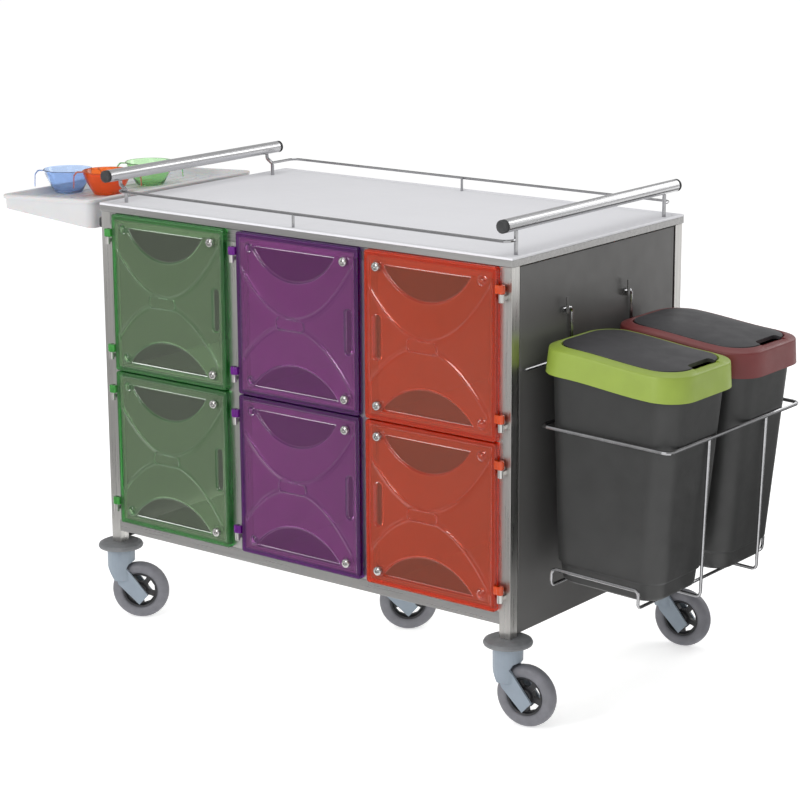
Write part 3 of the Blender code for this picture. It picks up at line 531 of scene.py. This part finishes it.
def relief(x, z, side):
    """Depth of a door's face behind its frontmost plane; side is +1 where it opens on the right."""
    half_x, half_z = DOOR_WIDE / 2, DOOR_TALL / 2
    edge = np.minimum(half_x - np.abs(x), half_z - np.abs(z))
    frame_in = ramp(edge, 0.0080, 0.0108)
    depth = 0.0016 * frame_in + 0.0008 * ramp(edge, 0.0145, 0.0172)
    # two arcs back to back: above the upper one and below the lower one the face is raised
    across = x - ARC_X
    upper = (z - UPPER_ARC[0] - UPPER_ARC[1] * across ** 2) / np.hypot(1, 2 * UPPER_ARC[1] * across)
    lower = (-LOWER_ARC[0] - LOWER_ARC[1] * across ** 2 - z) / np.hypot(1, 2 * LOWER_ARC[1] * across)
    raised = np.maximum(ramp(upper, -0.0100, -0.0040), ramp(lower, -0.0100, -0.0040))
    depth += 0.0012 * (1 - raised) * frame_in
    depth -= 0.0012 * np.exp(-(x / 0.07) ** 2 - (z / 0.05) ** 2) * frame_in
    nearest = np.minimum(np.minimum(np.abs(upper), np.abs(lower)), RIDGE_HALF)
    ridge = 0.5 + 0.5 * np.cos(math.pi * nearest / RIDGE_HALF)
    depth -= RIDGE * ridge * frame_in * ramp(edge, 0.0105, 0.0150)
    line, radius, middle_x, middle_z = CRESCENT
    crescent = np.minimum(line - z, radius - np.hypot(x - middle_x, z - middle_z))
    line, radius, middle_x, middle_z = ARCH
    arch = np.minimum(z - line, radius - np.hypot(x - middle_x, z - middle_z))
    window = np.clip(np.maximum(crescent, arch) / WINDOW_STEP, 0, 1)
    depth += WINDOW_DEEP * window
    pad = inside_box(x, z, *PAD)
    depth = depth * (1 - ramp(pad, -0.0010, 0.0010)) + 0.0012 * ramp(pad, -0.0010, 0.0010)
    depth -= 0.0008 + 0.0008 * np.cos(math.pi * np.minimum(np.abs(pad), PAD_LINE) / PAD_LINE)
    for sx in (-1, 1):
        for sz in (-1, 1):
            away = np.hypot(x - sx * (half_x - KNOB_INSET[0]), z - sz * (half_z - KNOB_INSET[1]))
            boss = 1 - ramp(away, 0.0098, 0.0122)
            depth = depth * (1 - boss) + 0.0012 * boss
            if sx != side:
                depth -= 0.0045 * np.sqrt(np.clip(1 - (away / 0.0082) ** 2, 0, 1))
    grip = inside_box(x, z, side * GRIP_X, *GRIP_REST)
    depth += 0.0050 * ramp(grip, 0, 0.0034)
    depth += 0.0024 - np.sqrt(np.clip(0.0024 ** 2 - np.clip(0.0024 - edge, 0, None) ** 2, 0, None))
    return depth, edge, np.maximum(window, ramp(grip, 0, 0.0034))


def door_shell(x0, z0, front, back, side):
    """A moulded door: one thin skin with its relief, and walls back to the frame."""
    half_x, half_z = DOOR_WIDE / 2, DOOR_TALL / 2
    xs, zs = grid_lines(half_x), grid_lines(half_z)
    x, z = np.meshgrid(xs, zs)
    depth, edge, window = relief(x, z, side)
    slope = np.hypot(*np.gradient(depth, zs, xs))
    # Painted shade: the windows and the grip's recess take the darker window colour, and the edges, steep
    # steps and ridge flanks take the deeper edge colour.
    painted_shade = 0.35 - 0.35 * window + 0.45 * (1 - ramp(edge, 0.0080, 0.0115))
    painted_shade = np.clip(painted_shade + 0.50 * np.clip(slope - 0.10, 0, 1.0), 0, 1)
    painted_shade = np.maximum(painted_shade, 1 - ramp(edge, 0.001, 0.006))
    corner = 0.006
    over_x, over_z = np.abs(x) - (half_x - corner), np.abs(z) - (half_z - corner)
    turned = (over_x > 0) & (over_z > 0)
    pull = np.where(turned, np.maximum(over_x, over_z) / np.maximum(np.hypot(over_x, over_z), 1e-9), 1.0)
    x = np.where(turned, np.sign(x) * (half_x - corner + over_x * pull), x)
    z = np.where(turned, np.sign(z) * (half_z - corner + over_z * pull), z)
    inner_x, inner_z = x * (1 - DOOR_SKIN / half_x), z * (1 - DOOR_SKIN / half_z)
    middle_x, middle_z = x0 + half_x, z0 + half_z
    outer = np.stack([x + middle_x, front + depth, z + middle_z], -1).reshape(-1, 3)
    inner = np.stack([inner_x + middle_x, front + depth + DOOR_SKIN, inner_z + middle_z], -1).reshape(-1, 3)
    rows, columns = len(zs), len(xs)
    index = np.arange(rows * columns).reshape(rows, columns)
    loop = np.concatenate([index[0, :-1], index[:-1, -1], index[-1, :0:-1], index[:0:-1, 0]])
    count = rows * columns
    outer_back, inner_back = outer[loop].copy(), inner[loop].copy()
    outer_back[:, 1] = inner_back[:, 1] = back
    vertices = np.concatenate([outer, inner, outer_back, inner_back])
    quads = np.stack([index[:-1, :-1], index[:-1, 1:], index[1:, 1:], index[1:, :-1]], -1).reshape(-1, 4)
    ring = np.arange(len(loop))
    following = np.roll(ring, -1)
    base_outer, base_inner = 2 * count, 2 * count + len(loop)
    faces = [quads, quads[:, ::-1] + count]
    faces.append(np.stack([loop[following], loop[ring], base_outer + ring, base_outer + following], -1))
    faces.append(np.stack([base_outer + following, base_outer + ring, base_inner + ring,
                           base_inner + following], -1))
    faces.append(np.stack([base_inner + following, base_inner + ring, count + loop[ring],
                           count + loop[following]], -1))
    faces = np.concatenate(faces)
    mesh = bpy.data.meshes.new("shape")
    mesh.from_pydata(vertices.tolist(), [], faces.tolist())
    # The walls back to the frame take the full painted shade of the edge colour.
    shade = np.concatenate([painted_shade.ravel(), painted_shade.ravel(), np.ones(2 * len(loop))]).astype(np.float32)
    mesh.attributes.new("painted_shade", "FLOAT", "POINT").data.foreach_set("value", shade)
    return mesh


def knob(x, z, front):
    """A domed screw-down knob with a collar and a socket in its crown."""
    profile = [(0.0075, 0.0), (0.0092, 0.0004), (0.0094, 0.0018), (0.0090, 0.0026), (0.0094, 0.0034),
               (0.0092, 0.0062), (0.0078, 0.0082), (0.0056, 0.0092), (0.0040, 0.0095), (0.0034, 0.0090),
               (0.0031, 0.0070), (0.0006, 0.0066)]
    mesh = lathe(profile, 28)
    mesh.transform(Matrix.Translation((x, front, z)) @ Matrix.Rotation(math.pi / 2, 4, "X"))
    return mesh


def door(body, colour, side):
    """A door, whose node and body share a name; side is +1 where it opens on its right-hand side."""
    low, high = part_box(body)
    x0 = high.x - DOOR_WIDE if side > 0 else low.x
    z0 = low.z
    front = low.y + KNOB_PROUD
    piece(f"{body}_shell", door_shell(x0, z0, front, high.y, side), f"door_{colour}", body,
          [body], 60)
    knob_x = x0 + DOOR_WIDE / 2 + side * (DOOR_WIDE / 2 - KNOB_INSET[0])
    knobs = [knob(knob_x, z, front) for z in (z0 + KNOB_INSET[1], z0 + DOOR_TALL - KNOB_INSET[1])]
    piece(f"{body}_knobs", merged(knobs), "chrome", body)
    axis_x = x0 - HINGE_GAP if side > 0 else x0 + DOOR_WIDE + HINGE_GAP
    lugs = []
    for share in LUG_SHARES:
        middle = z0 + DOOR_TALL * share
        eye = lathe(LUG_EYE, 24)
        eye.transform(Matrix.Translation((axis_x, HINGE_Y, middle)))
        near, far = sorted((axis_x, axis_x + side * (HINGE_GAP + 0.0005)))
        bridge = rounded_box((near, HINGE_Y - 0.0052, middle - LUG_HALF),
                             (far, HINGE_Y + 0.0052, middle + LUG_HALF), 0.0014)
        lugs += [eye, bridge]
    piece(f"{body}_lugs", merged(lugs), f"lug_{colour}", body)


for colour_name, opens in (("green", 1), ("purple", 1), ("orange", -1)):
    for level in ("lower", "upper"):
        door(f"door_{colour_name}_{level}", colour_name, opens)

# ---------------------------------------------------------------- handle caps
for depth_name, sy in (("front", -1), ("rear", 1)):
    for side in ("left", "right"):
        node = f"handle_cap_{depth_name}_{side}"
        low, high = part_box(node)
        middle = (low + high) / 2
        long = high.y - low.y
        profile = [(0.0120, 0.0)]
        for k in range(3):
            start = 0.0008 + k * 0.0026
            profile += [(0.0121, start), (0.0129, start + 0.0004), (0.0129, start + 0.0014),
                        (0.0121, start + 0.0018)]
        profile += [(0.0120, long - 0.0012), (0.0108, long - 0.0003), (0.0098, long),
                    (0.0090, long - 0.0008),
                    (0.0012, long - 0.0010)]
        cap = lathe(profile, 40)
        cap.transform(Matrix.Translation((middle.x, low.y if sy > 0 else high.y, middle.z))
                      @ Matrix.Rotation(-sy * math.pi / 2, 4, "X"))
        piece(node + "_ribbed", cap, "rubber", "cart_frame", [node], 50)

# ---------------------------------------------------------------- wheels
SPINS = {j["child"]: j for j in frame["joints"] if j["child"].startswith("wheel_")}


def wheel(place):
    """A castor's tyre and its five-window rim, on the axle of its spin joint."""
    body = f"wheel_{place}"
    joint = SPINS[body]
    axle = Vector(joint["axis"]).normalized()
    stand = Matrix.Translation(joint["pos_m"]) @ axle.to_track_quat("Z", "X").to_matrix().to_4x4()
    tyre = [(0.0388, -0.0105), (0.0395, -0.0118), (0.0412, -0.0132), (0.0450, -0.0144), (0.0500, -0.0149),
            (0.0545, -0.0142), (0.0580, -0.0122), (0.0605, -0.0092), (0.0619, -0.0052)]
    far_side = [(radius, -wide) for radius, wide in reversed(tyre)]
    outline = [*tyre, (0.0624, 0.0), *far_side, (0.0380, 0.0060), (0.0380, -0.0060)]
    mesh = lathe(outline, 72, closed=True)
    mesh.transform(stand)
    piece(f"{body}_tyre", mesh, "tyre", body, [f"castor_wheel_{place}"], 50)
    half = [(0.0056, -0.0140), (0.0120, -0.0140), (0.0140, -0.0120), (0.0150, -0.0050), (0.0330, -0.0042),
            (0.0350, -0.0100), (0.0385, -0.0112)]
    rim = lathe([*half, *((radius, -wide) for radius, wide in reversed(half))], 60, closed=True)
    windows = []
    for k in range(5):
        turn = 2 * math.pi * k / 5
        outline = []
        for radius, spread in ((0.0185, 0.30), (0.0250, 0.42), (0.0318, 0.44)):
            outline.append((radius * math.cos(turn - spread), radius * math.sin(turn - spread)))
        for radius, spread in ((0.0324, 0.0), (0.0318, 0.44), (0.0250, 0.42), (0.0185, 0.30)):
            outline.append((radius * math.cos(turn + spread), radius * math.sin(turn + spread)))
        windows.append(skin([[(p, q, h) for p, q in outline] for h in (-0.02, 0.02)]))
    rim = cut(rim, windows)
    rim.transform(stand)
    piece(f"{body}_rim", rim, "rim_black", body)


for place in ("front_left", "front_right", "rear_left", "rear_right", "centre"):
    wheel(place)

# ---------------------------------------------------------------- bins
RACK_PIVOT = Vector((0.532, 0.0, 0.600))
LEAN = (Matrix.Translation(RACK_PIVOT) @ Matrix.Rotation(math.radians(2.0), 4, "Y")
        @ Matrix.Translation((0, 0, -RACK_PIVOT.z)))
BIN_X = 0.1746
BINS_Y = {"front": -0.1388, "rear": 0.1090}
WAVE = 0.0055


def wave(x):
    """The bin ring's gentle S along its length: higher at the wall end."""
    share = min(1.0, max(0.0, (x + 0.10) / 0.20))
    return WAVE * (1 - 2 * share * share * (3 - 2 * share))


def loop_at(half_x, half_y, radius, z, waved=0.0, steps=10, sides=10):
    """A rounded rectangle with extra points along its straight sides."""
    corners = rounded_rectangle(half_x, half_y, radius, steps)
    points = []
    for i, here in enumerate(corners):
        after = corners[(i + 1) % len(corners)]
        points.append(here)
        if (i + 1) % (steps + 1) == 0:
            points += [tuple(a + (b - a) * k / sides for a, b in zip(here, after)) for k in range(1, sides)]
    return [(x, y, z + waved * wave(x)) for x, y in points]


TUB = (  # half length, half width, corner radius, height: up the outside, then down the inside
    (0.0990, 0.0745, 0.034, 0.2892), (0.1060, 0.0812, 0.038, 0.2900), (0.1108, 0.0856, 0.040, 0.2935),
    (0.1128, 0.0872, 0.040, 0.2990), (0.1146, 0.0887, 0.040, 0.3225), (0.1158, 0.0900, 0.041, 0.3252),
    (0.1196, 0.0930, 0.043, 0.3278), (0.1210, 0.0940, 0.044, 0.3310), (0.1312, 0.0990, 0.045, 0.5000),
    (0.1418, 0.1043, 0.046, 0.6800), (0.1444, 0.1056, 0.046, 0.7290),
    (0.1418, 0.1030, 0.044, 0.7290), (0.1286, 0.0964, 0.043, 0.5000), (0.1110, 0.0858, 0.038, 0.2960),
)
RING = (  # the same four values round the ring's section, from its skirt's lower edge
    (0.1588, 0.1183, 0.0600, 0.6930), (0.1584, 0.1179, 0.0598, 0.6965), (0.1556, 0.1151, 0.0590, 0.7375),
    (0.1551, 0.1146, 0.0588, 0.7402), (0.1538, 0.1133, 0.0582, 0.7418), (0.1400, 0.0995, 0.0545, 0.7468),
    (0.1378, 0.0973, 0.0535, 0.7468), (0.1366, 0.0961, 0.0530, 0.7448), (0.1358, 0.0953, 0.0525, 0.7400),
    (0.1250, 0.0860, 0.0460, 0.7390), (0.1250, 0.0860, 0.0460, 0.7352), (0.1462, 0.1072, 0.0480, 0.7348),
    (0.1530, 0.1130, 0.0560, 0.7300), (0.1562, 0.1158, 0.0580, 0.6938), (0.1572, 0.1168, 0.0590, 0.6928),
)
COVER = (  # the same for the lid, from its lower edge to its crown
    (0.1335, 0.0930, 0.0520, 0.7425), (0.1345, 0.0940, 0.0525, 0.7440), (0.1349, 0.0944, 0.0527, 0.7462),
    (0.1343, 0.0938, 0.0524, 0.7476), (0.1300, 0.0900, 0.0505, 0.7488), (0.1130, 0.0760, 0.0440, 0.7512),
    (0.0880, 0.0580, 0.0360, 0.7530), (0.0500, 0.0330, 0.0240, 0.7542), (0.0100, 0.0080, 0.0060, 0.7545),
)
NOTCH_Y = (-0.035, 0.050)
NOTCH_X = 0.1210


def bin_set(depth_name, rim_material):
    """A bin's tub, its coloured ring and its lid with a finger notch."""
    body = f"bin_{depth_name}"
    stand = LEAN @ Matrix.Translation((BIN_X, BINS_Y[depth_name], 0))
    shell = skin([loop_at(*row) for row in TUB])
    shell.transform(stand)
    piece(f"{body}_tub", shell, "bin", body, [f"bin_body_{depth_name}"])

    ring = skin([loop_at(*row, waved=1.0) for row in RING], closed=True)
    low, high = NOTCH_Y
    trough = skin([[(0.110, y, 0.7345), (0.1500, y, 0.7400), (0.1500, y, 0.7600), (0.110, y, 0.7600)]
                   for y in NOTCH_Y])
    ring = cut(ring, [trough])
    ring.transform(stand)
    piece(f"{body}_ring", ring, rim_material, body, [f"bin_rim_{depth_name}"])

    lid = skin([loop_at(*row, waved=1.0) for row in COVER])
    finger = rounded_box((NOTCH_X, low + 0.003, 0.7200), (0.1600, high - 0.003, 0.7700), 0.008, 4)
    lid = cut(lid, [finger])
    lid.transform(stand)
    piece(f"{body}_cover", lid, "lid", f"bin_lid_{depth_name}", [f"bin_lid_{depth_name}"])


bin_set("front", "rim_green")
bin_set("rear", "rim_red")

# ---------------------------------------------------------------- side shelf
TRAY_X = (-0.8822, -0.6000)
TRAY_HALF_Y = 0.265
TRAY_TOP, TRAY_FALL = 0.913, 0.014
SKIRT_INNER, SKIRT_OUTER = 0.064, 0.030
SHELF_HINGE_X, SHELF_HINGE_Z = -0.575, 0.848
PLUG_X, PLUG_Y, PLUG_Z = -0.5565, 0.2655, 0.872


def tray_z(x):
    """Height of the shelf's rim, which falls towards its outer end."""
    return TRAY_TOP - TRAY_FALL * (TRAY_X[1] - x) / (TRAY_X[1] - TRAY_X[0])


def side_shelf():
    middle, half_x = sum(TRAY_X) / 2, (TRAY_X[1] - TRAY_X[0]) / 2

    def ring(inset, drop, radius, skirt=0.0):
        points = []
        for x, y in rounded_rectangle(half_x - inset, TRAY_HALF_Y - inset, radius, 8):
            share = (half_x - x) / (2 * half_x)
            deep = skirt * (SKIRT_INNER * (1 - share) + SKIRT_OUTER * share)
            points.append((middle + x, y, tray_z(middle + x) - drop - deep))
        return points

    rings = [ring(0.0120, 0.0, 0.016, 1.0), ring(0.0060, 0.0, 0.018, 1.0), ring(0.0050, 0.001, 0.0185, 0.94),
             ring(0.0044, 0.0110, 0.0188), ring(0.0042, 0.0098, 0.0188), ring(0.0008, 0.0090, 0.0202),
             ring(0.0002, 0.0070, 0.0205), ring(0.0000, 0.0036, 0.0205), ring(0.0006, 0.0014, 0.0200),
             ring(0.0022, 0.0002, 0.0190),
             ring(0.0120, 0.0000, 0.0160), ring(0.0145, 0.0012, 0.0150), ring(0.0175, 0.0110, 0.0130),
             ring(0.0200, 0.0136, 0.0120), ring(0.0240, 0.0140, 0.0110)]
    shell = skin(rings)
    ribs = []
    for k in range(5):
        x = TRAY_X[0] + 0.062 + k * 0.040
        z = tray_z(x)
        ribs.append(rounded_box((x - 0.0016, -0.225, z - 0.0150), (x + 0.0016, 0.225, z - 0.0128), 0.0006))
    arms = []
    for sy in (-1, 1):
        y = sy * 0.190
        eye = lathe([(0.0045, -0.0115), (0.0075, -0.0115), (0.0080, -0.0105),
                     (0.0080, 0.0105), (0.0075, 0.0115), (0.0045, 0.0115)], 28, closed=True)
        eye.transform(Matrix.Translation((SHELF_HINGE_X, y, SHELF_HINGE_Z))
                      @ Matrix.Rotation(math.pi / 2, 4, "X"))
        near, far = y - 0.0115, y + 0.0115
        arms += [eye, rounded_box((-0.6065, near, SHELF_HINGE_Z), (-0.5810, far, 0.8550), 0.0015)]
    piece("side_shelf_tray", merged([shell, *ribs, *arms]), "shelf", "side_shelf",
          ["side_shelf"], 40)
    plugs = []
    insets = (0.0, 0.0, 0.0010, 0.0030)
    outline = [rounded_rectangle(0.0062 - i, 0.0112 - i, 0.0058 - i, 6) for i in insets]
    for sy in (-1, 1):
        plugs.append(skin([[(PLUG_X + x, sy * (PLUG_Y + out), PLUG_Z + z) for x, z in ring_points]
                           for ring_points, out in zip(outline, (0.0, 0.0098, 0.0116, 0.0122))]))
    piece("shelf_tube_plugs", merged(plugs), "rubber", "cart_frame")


side_shelf()

# ---------------------------------------------------------------- cups
CUP_TURN = math.radians(50)
CUP_OUTSIDE = (  # radius, height; the last four heights are measured down from the brim
    (0.0005, 0.0), (0.0300, 0.0), (0.0322, 0.0012), (0.0345, 0.0060), (0.0395, 0.0150), (0.0445, 0.0245),
    (0.0490, 0.0340), (0.0522, 0.0430), (0.0536, -0.0040), (0.0551, -0.0020), (0.0555, -0.0007),
    (0.0546, -0.00001),
)
CUP_INSIDE = ((0.0532, -0.0010), (0.0516, -0.0050), (0.0472, 0.0340), (0.0425, 0.0245), (0.0374, 0.0150),
              (0.0322, 0.0065), (0.0280, 0.0028), (0.0005, 0.0024))
CUP_EAR = (  # reach and height of the ear's path, measured down from the brim where negative
    (0.0520, -0.0022), (0.0670, -0.0018), (0.0738, -0.0100), (0.0750, 0.0150),
)
EAR_HALF, EAR_THICK = 0.0092, 0.0013
BOWL_EDGE = 0.053  # the flutes stay inside this radius
CUP_STEPS = 72
FLUTES = 9


def cup(name):
    """A fluted cup with an ear on each side."""
    low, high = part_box(name)
    middle = (low + high) / 2
    tall = high.z - low.z

    def level(z):
        return tall + z if z < 0 else z

    rings = []
    for radius, z in CUP_OUTSIDE + CUP_INSIDE:
        ring = []
        for i, (p, q) in enumerate(circle(radius, CUP_STEPS)):
            ripple = 1 + 0.010 * math.sin(FLUTES * 2 * math.pi * i / CUP_STEPS) * (radius < BOWL_EDGE)
            ring.append((p * ripple, q * ripple, level(z)))
        rings.append(ring)
    parts = [skin(rings)]
    for side in (-1, 1):
        path = rounded_path([(side * reach, 0, level(z)) for reach, z in CUP_EAR], 0.0060)
        parts.append(strap(path, EAR_HALF, EAR_THICK, (0, 1, 0)))
    mesh = merged(parts)
    # Painted shade: the brim and the ears take the plastic's deeper edge colour.
    painted_shade = [min(1.0, max(0.35, (math.hypot(v.co.x, v.co.y) - 0.052) / 0.008)) for v in mesh.vertices]
    mesh.attributes.new("painted_shade", "FLOAT", "POINT").data.foreach_set("value", painted_shade)
    mesh.transform(Matrix.Translation((middle.x, middle.y, low.z)) @ Matrix.Rotation(CUP_TURN, 4, "Z"))
    piece(f"{name}_bowl", mesh, name, name, [name], 50)


for name in ("cup_blue", "cup_orange", "cup_green"):
    cup(name)
